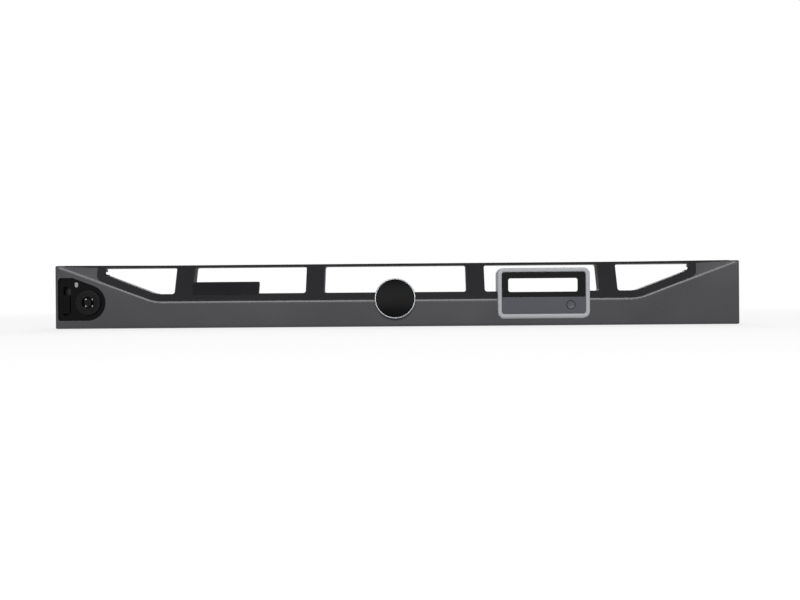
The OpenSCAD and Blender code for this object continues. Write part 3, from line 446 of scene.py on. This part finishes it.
def opened_to(piece, side):
    """Takes the outer corner of an end window out to where its short upright side stands."""
    outline = [(cut_from, sill_at(cut_from))]
    for step in range(round_steps + 1):
        turn = step / round_steps
        before, after = sill_round * (1 - turn) ** 2, sill_round * turn ** 2
        outline.append((outer_side - before, sill_at(outer_side) - before * sill_slope + after))
    outline += [(outer_side, head - head_round),
                (outer_side - head_round / 3, head - head_round / 3),
                (outer_side - head_round, head),
                (cut_from, head)]
    bpy.ops.object.select_all(action="DESELECT")
    bpy.ops.mesh.primitive_circle_add(vertices=len(outline), radius=0.01, fill_type="NGON")
    cutter = bpy.context.object
    for vertex, (x, z) in zip(cutter.data.vertices, outline):
        vertex.co = (side * x, -cut_depth / 2, z)
    bpy.ops.object.mode_set(mode="EDIT")
    bpy.ops.mesh.select_all(action="SELECT")
    bpy.ops.mesh.extrude_region_move(TRANSFORM_OT_translate={"value": (0, cut_depth, 0)})
    bpy.ops.mesh.select_all(action="SELECT")
    bpy.ops.mesh.normals_make_consistent(inside=False)
    bpy.ops.object.mode_set(mode="OBJECT")
    only_selected(piece)
    cut = piece.modifiers.new("end", "BOOLEAN")
    cut.operation = "DIFFERENCE"
    cut.solver = "EXACT"
    cut.object = cutter
    bpy.ops.object.modifier_apply(modifier="end")
    bpy.data.objects.remove(cutter)


opened_to(window_frame, -1)
opened_to(window_frame, 1)
corners_rounded(window_frame, 0.3 * mm)

# Lines left on metal by rolling and turning, as a height
drawn_lines, drawn_in, drawn_out = node_group("drawn_lines", {"Scale": 900.0}, ["Height"])
place = drawn_lines.nodes.new("ShaderNodeTexCoord")
stretch = drawn_lines.nodes.new("ShaderNodeMapping")
stretch.inputs["Scale"].default_value = (1.0, 1.0, 0.06)
lines = drawn_lines.nodes.new("ShaderNodeTexNoise")
lines.inputs["Detail"].default_value = 2.0
drawn_lines.links.new(place.outputs["Object"], stretch.inputs["Vector"])
drawn_lines.links.new(stretch.outputs["Vector"], lines.inputs["Vector"])
drawn_lines.links.new(drawn_in.outputs["Scale"], lines.inputs["Scale"])
drawn_lines.links.new(lines.outputs["Fac"], drawn_out.inputs["Height"])


def metal_finish(name, colour, roughness, metallic=1.0):
    """A bare or plated metal, with drawn lines in place of moulded grain."""
    return finish(name, colour, roughness, 0.5, metallic=metallic, skin=drawn_lines, grain=900.0,
                  patch=0.08, speck_amount=0.1)


screw_corner = 0.12 * mm
plated_steel = metal_finish("plated_steel", shade(178, 178, 172), 0.34)
moulding("frame_screws", plated_steel, screw_corner)

# ---- nameplate ----
# A small satin black plate in a shallow rebate of the frame, pegged through a
# pad behind it. Its face is left bare.

gloss_black = finish("gloss_black", shade(8, 8, 9), 0.22, 0.03, grain=900.0,
                     grain_depth=0.004 * mm, patch=0.05, gloss_patch=0.05, speck_amount=0.12)
# The second, lighter colour is a painted highlight on the corners
plate_black = finish("plate_black", shade(17, 17, 20), 0.3, 0.14, edge_highlight=shade(50, 50, 54),
                     grain=900.0, grain_depth=0.006 * mm, patch=0.06, speck_amount=0.15)
moulding("nameplate", plate_black, 0.22 * mm, steps=3)

# ---- badge ----
# A round badge that leans back: a black dome in a thin satin bright ring, on a
# cup that reaches through the band and is held by two screws.

ring_bright = metal_finish("bright_ring", shade(128, 130, 134), 0.34)
moulding("badge_carrier", frame_plastic, 0.2 * mm)
moulding("badge_ring", ring_bright, 0.12 * mm, steps=3)
moulding("badge_disc", gloss_black, 0.08 * mm)
moulding("badge_screws", plated_steel, screw_corner)

# ---- display module ----
# A light grey surround with a softly rounded front carries a black window
# panel over a grey lower panel. Board, switch and cover sit behind.

# The second, lighter colour is a painted highlight on the corners
silver_plastic = finish("silver_plastic", shade(152, 154, 158), 0.36, 0.4, grain=2100.0,
                        grain_depth=0.012 * mm, patch=0.04, edge_highlight=shade(186, 187, 189))
panel_black = finish("panel_black", shade(15, 15, 16), 0.24, 0.16, grain=1200.0,
                     grain_depth=0.006 * mm, patch=0.08, speck_amount=0.12)
panel_grey = finish("panel_grey", shade(66, 67, 73), 0.4, 0.3, grain=2600.0,
                    grain_depth=0.012 * mm, patch=0.05)


def front_edges_rounded(piece, face_y, radius, steps):
    """Rounds the rims of the front face at depth face_y, the edges that just one such face uses."""
    faces_front, same_depth = -0.99, 0.01 * mm
    uses = {}
    for face in piece.data.polygons:
        if face.normal.y < faces_front and abs(face.center.y - face_y) < same_depth:
            for key in face.edge_keys:
                uses[key] = uses.get(key, 0) + 1
    only_selected(piece)
    bpy.ops.object.mode_set(mode="EDIT")
    bpy.ops.mesh.select_mode(type="EDGE")
    bpy.ops.mesh.select_all(action="DESELECT")
    bpy.ops.object.mode_set(mode="OBJECT")
    for edge in piece.data.edges:
        edge.select = uses.get(edge.key) == 1
    bpy.ops.object.mode_set(mode="EDIT")
    bpy.ops.mesh.bevel(offset=radius, segments=steps, profile=0.5)
    bpy.ops.object.mode_set(mode="OBJECT")
    bpy.ops.object.shade_smooth_by_angle(angle=smooth_angle)


surround_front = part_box("module_surround")[0].y
surround = moulding("module_surround", silver_plastic, 0)
front_edges_rounded(surround, surround_front, radius=1 * mm, steps=5)
moulding("display_panel", panel_black, 0.25 * mm, steps=3)
moulding("control_panel", panel_grey, 0.2 * mm)


def turned(name, rings, sides, place, material):
    """A piece turned about the depth axis from rings of (radius, depth), front ring first."""
    radius, depth = rings[0]
    bpy.ops.object.select_all(action="DESELECT")
    bpy.ops.mesh.primitive_circle_add(vertices=sides, radius=radius)
    piece = bpy.context.object
    piece.name = name
    bpy.ops.object.mode_set(mode="EDIT")
    bpy.ops.mesh.select_all(action="SELECT")
    bpy.ops.mesh.edge_face_add()
    bpy.ops.transform.translate(value=(0, 0, depth))
    for wider, deeper in rings[1:]:
        bpy.ops.mesh.extrude_region_move(TRANSFORM_OT_translate={"value": (0, 0, deeper - depth)})
        growth = wider / radius
        bpy.ops.transform.resize(value=(growth, growth, 1), center_override=(0, 0, deeper))
        radius, depth = wider, deeper
    bpy.ops.mesh.select_all(action="SELECT")
    bpy.ops.mesh.normals_make_consistent(inside=False)
    bpy.ops.object.mode_set(mode="OBJECT")
    piece.rotation_euler = (math.radians(-90), 0, 0)
    piece.location = place
    bpy.ops.object.transform_apply(location=True, rotation=True, scale=False)
    bpy.ops.object.shade_smooth_by_angle(angle=smooth_angle)
    piece.data.materials.append(material)
    return piece


# The button is dished for a fingertip and has a flange behind the panel. Its
# face is given as rings of (share of the cap's radius, depth).
button_grey = finish("button_grey", shade(70, 71, 75), 0.42, 0.3, grain=2600.0,
                     grain_depth=0.012 * mm)
button_face = [(0.15, 0.36 * mm), (0.4, 0.3 * mm), (0.62, 0.17 * mm), (0.78, 0.04 * mm),
               (0.86, 0.0), (0.93, 0.04 * mm), (0.98, 0.15 * mm), (1.0, 0.3 * mm)]
flange_reach = 0.8 * mm
flange_t = 1.1 * mm
button_sides = 64
frame["nodes"]["module_button"].data.materials.clear()
frame["nodes"]["module_button"].data.materials.append(button_grey)
low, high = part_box("module_button")
flange = (high.x - low.x) / 2
cap = flange - flange_reach
back = high.y - low.y
rings = [(part * cap, depth) for part, depth in button_face]
rings += [(cap, back - flange_t), (flange, back - flange_t), (flange, back), (0.3 * flange, back)]
button_place = ((low.x + high.x) / 2, low.y, (low.z + high.z) / 2)
button = turned("button", rings, button_sides, button_place, button_grey)
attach(button, body_of_node["module_button"])
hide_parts("module_button")

board_green = finish("board", shade(22, 66, 38), 0.35, 0.5, grain=700.0, grain_depth=0.01 * mm)
switch_plastic = finish("switch_plastic", shade(28, 28, 29), 0.45, 0.3)
white_plastic = finish("white_plastic", shade(212, 212, 208), 0.4, 0.4, patch=0.03)
cream_plastic = finish("cream_plastic", shade(205, 199, 180), 0.45, 0.4, patch=0.04)
moulding("module_board", board_green, 0.08 * mm)
moulding("module_switch", switch_plastic, 0.12 * mm)
moulding("switch_stem", white_plastic, 0.1 * mm)
moulding("board_connector", cream_plastic, 0.1 * mm)
moulding("board_screws", plated_steel, screw_corner)
moulding("module_cover", frame_plastic, 0.2 * mm)
moulding("module_screws", plated_steel, screw_corner)

# ---- lock ----
# A tubular lock on a recessed black panel: blackened zinc housing, a plug with
# pins round a centre post, a nut, and a cam on the plug's tail.

# The second, lighter colour is a painted highlight on the corners
lock_black = finish("lock_metal", shade(13, 12, 13), 0.36, 0.12, edge_highlight=shade(38, 36, 36),
                    grain=1500.0, grain_depth=0.01 * mm)
# The second, lighter colour is a painted highlight on the corners
panel_moulding = finish("lock_panel_plastic", shade(9, 9, 10), 0.5, 0.06, edge_highlight=shade(22, 22, 24),
                        grain=1900.0, grain_depth=0.02 * mm)
pin_metal = metal_finish("pin_metal", shade(206, 200, 190), 0.42, metallic=0.4)
moulding("lock_panel", panel_moulding, 0.2 * mm)
marker_white = finish("marker_white", shade(140, 140, 138), 0.5, 0.2, patch=0.04)
moulding("lock_marker", marker_white, 0.12 * mm)
moulding("panel_screws", plated_steel, screw_corner)
moulding("lock_housing", lock_black, 0.25 * mm, steps=3)
moulding("lock_nut", plated_steel, 0.25 * mm)
moulding("lock_plug", lock_black, 0.12 * mm)
moulding("lock_cam", plated_steel, 0.15 * mm)
moulding("cam_screw", plated_steel, screw_corner)
moulding("lock_pins", pin_metal, 0.12 * mm, steps=3)

# ---- latch ----
# A ribbed tab slides up in its slot and lifts a black coated steel plate with
# two hooks, against a small coil spring in the guide behind.

# The second, lighter colour is a painted highlight on the corners
coated_steel = finish("black_steel", shade(24, 24, 25), 0.4, 0.3, edge_highlight=shade(96, 95, 93),
                      grain=1500.0, grain_depth=0.008 * mm)
moulding("latch_tab", panel_moulding, 0.15 * mm)
moulding("latch_plate", coated_steel, 0.12 * mm)
moulding("latch_guide", frame_plastic, 0.15 * mm)
moulding("latch_screws", plated_steel, screw_corner)

# The spring's upper end bears on the guide, and in use the rising plate squeezes it by the
# latch's travel. Here its wire is only rounded and shaded smooth.
spring_steel = metal_finish("spring_steel", shade(170, 171, 172), 0.28)
spring = moulding("latch_spring", spring_steel, 0)
only_selected(spring)
wire = spring.modifiers.new("round_wire", "SUBSURF")
wire.levels = 1
wire.render_levels = 1
bpy.ops.object.modifier_apply(modifier="round_wire")
bpy.ops.object.shade_smooth()
low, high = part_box("latch_spring")
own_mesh(spring)

# ---- hinge plate ----
# Bent steel plate with two tongues that hook into the rack ear at the end
# away from the lock, held by two screws.

moulding("hinge_plate", coated_steel, 0.12 * mm)
moulding("hinge_screws", plated_steel, screw_corner)

# ---- contacts ----
# Eight gilt pads in a black housing meet the server's contacts. A flat cable
# brings them to the module's board.

gilt = metal_finish("brass", shade(206, 170, 92), 0.24)
moulding("contact_housing", switch_plastic, 0.15 * mm)
moulding("contact_pads", gilt, 0.08 * mm)
moulding("contact_screws", plated_steel, screw_corner)

# Round ridges over the wires of the flat cable, as a height
wire_ridges, ridges_in, ridges_out = node_group("wire_ridges", {"Scale": 247.0}, ["Height"])
place = wire_ridges.nodes.new("ShaderNodeTexCoord")
cores = wire_ridges.nodes.new("ShaderNodeTexWave")
cores.bands_direction = "Z"
wire_ridges.links.new(place.outputs["Object"], cores.inputs["Vector"])
wire_ridges.links.new(ridges_in.outputs["Scale"], cores.inputs["Scale"])
wire_ridges.links.new(cores.outputs["Fac"], ridges_out.inputs["Height"])

ribbon_grey = finish("ribbon", shade(150, 151, 153), 0.5, 0.3, skin=wire_ridges, grain=247.0,
                     grain_depth=0.3 * mm, patch=0.05)
moulding("ribbon_cable", ribbon_grey, 0)
